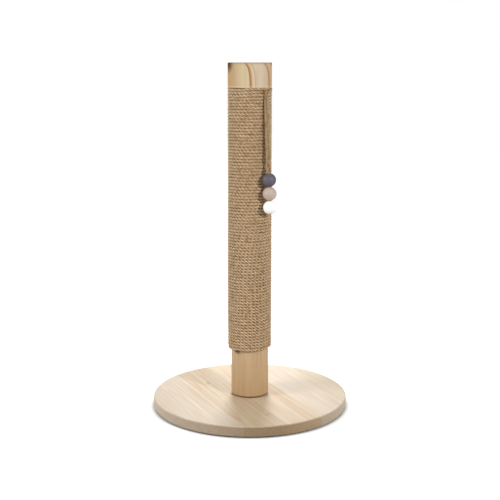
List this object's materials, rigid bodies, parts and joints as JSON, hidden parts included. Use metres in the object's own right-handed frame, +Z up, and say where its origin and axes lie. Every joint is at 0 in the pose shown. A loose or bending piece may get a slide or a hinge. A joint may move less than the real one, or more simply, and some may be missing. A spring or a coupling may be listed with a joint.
{
  "type": "cat scratching post",
  "caption": "Cat scratching post: rope-wound wooden pole with a wooden cap on a round board base, with a hanging string of wooden beads.",
  "frame": {"origin": "on the floor, under the middle of the round base", "axes": "+Z up along the pole, -Y towards the front, +X to the viewer's right, with the toy at the front right"},
  "size_m": [0.4, 0.4, 0.7045],
  "materials": {
    "base_wood": "planed light pine staves, oiled matt",
    "core_wood": "turned pine, matt",
    "cap_wood": "turned pine with bold grain lines, matt",
    "dowel_wood": "beech dowel, plain",
    "sisal": "natural sisal rope, laid and fuzzy",
    "string": "natural twisted string",
    "felt": "pressed felt",
    "zinc_steel": "zinc plated",
    "grey_paint": "wooden bead painted slate grey, matt",
    "pink_paint": "wooden bead painted pale pink, matt",
    "white_paint": "wooden bead painted white, matt"
  },
  "bodies": {
    "post": {"base_stave_1": "base_wood", "base_stave_2": "base_wood", "base_stave_3": "base_wood", "base_stave_4": "base_wood", "base_stave_5": "base_wood", "foot_pad_1": "felt", "foot_pad_2": "felt", "foot_pad_3": "felt", "foot_pad_4": "felt", "foot_pad_5": "felt", "foot_pad_6": "felt", "base_bolt": "zinc_steel", "base_washer": "zinc_steel", "core_insert": "zinc_steel", "locating_dowel_1": "dowel_wood", "locating_dowel_2": "dowel_wood", "core_pole": "core_wood", "rope_wrap": "sisal", "rope_staple_top": "zinc_steel", "rope_staple_bottom": "zinc_steel", "top_cap": "cap_wood", "cap_dowel": "dowel_wood", "toy_hitch": "string"},
    "toy_hanger": {"toy_strand_left": "string", "toy_strand_right": "string"},
    "toy": {"toy_leg_inner": "string", "toy_leg_outer": "string", "toy_knot": "string"},
    "grey_bead": {"bead_grey": "grey_paint"},
    "pink_bead": {"bead_pink": "pink_paint"},
    "white_bead": {"bead_white": "white_paint"}
  },
  "joints": [
    {"name": "toy_swing", "type": "hinge", "parent": "post", "child": "toy_hanger", "pos_m": [0.03037, -0.0362, 0.64938], "axis": [-0.5926, -0.7936, -0.1381], "range_deg": [0, 120]},
    {"name": "toy_sway", "type": "hinge", "parent": "toy_hanger", "child": "toy", "pos_m": [0.03238, -0.03751, 0.63688], "axis": [0.6524, -0.7558, 0.0566], "range_deg": [-60, 60]},
    {"name": "grey_bead_spin", "type": "hinge", "parent": "toy", "child": "grey_bead", "pos_m": [0.03238, -0.03751, 0.63688], "axis": [0.037, -0.0429, -0.9984], "continuous": true},
    {"name": "pink_bead_spin", "type": "hinge", "parent": "toy", "child": "pink_bead", "pos_m": [0.03238, -0.03751, 0.63688], "axis": [0.037, -0.0429, -0.9984], "continuous": true},
    {"name": "white_bead_spin", "type": "hinge", "parent": "toy", "child": "white_bead", "pos_m": [0.03238, -0.03751, 0.63688], "axis": [0.037, -0.0429, -0.9984], "continuous": true}
  ]
}
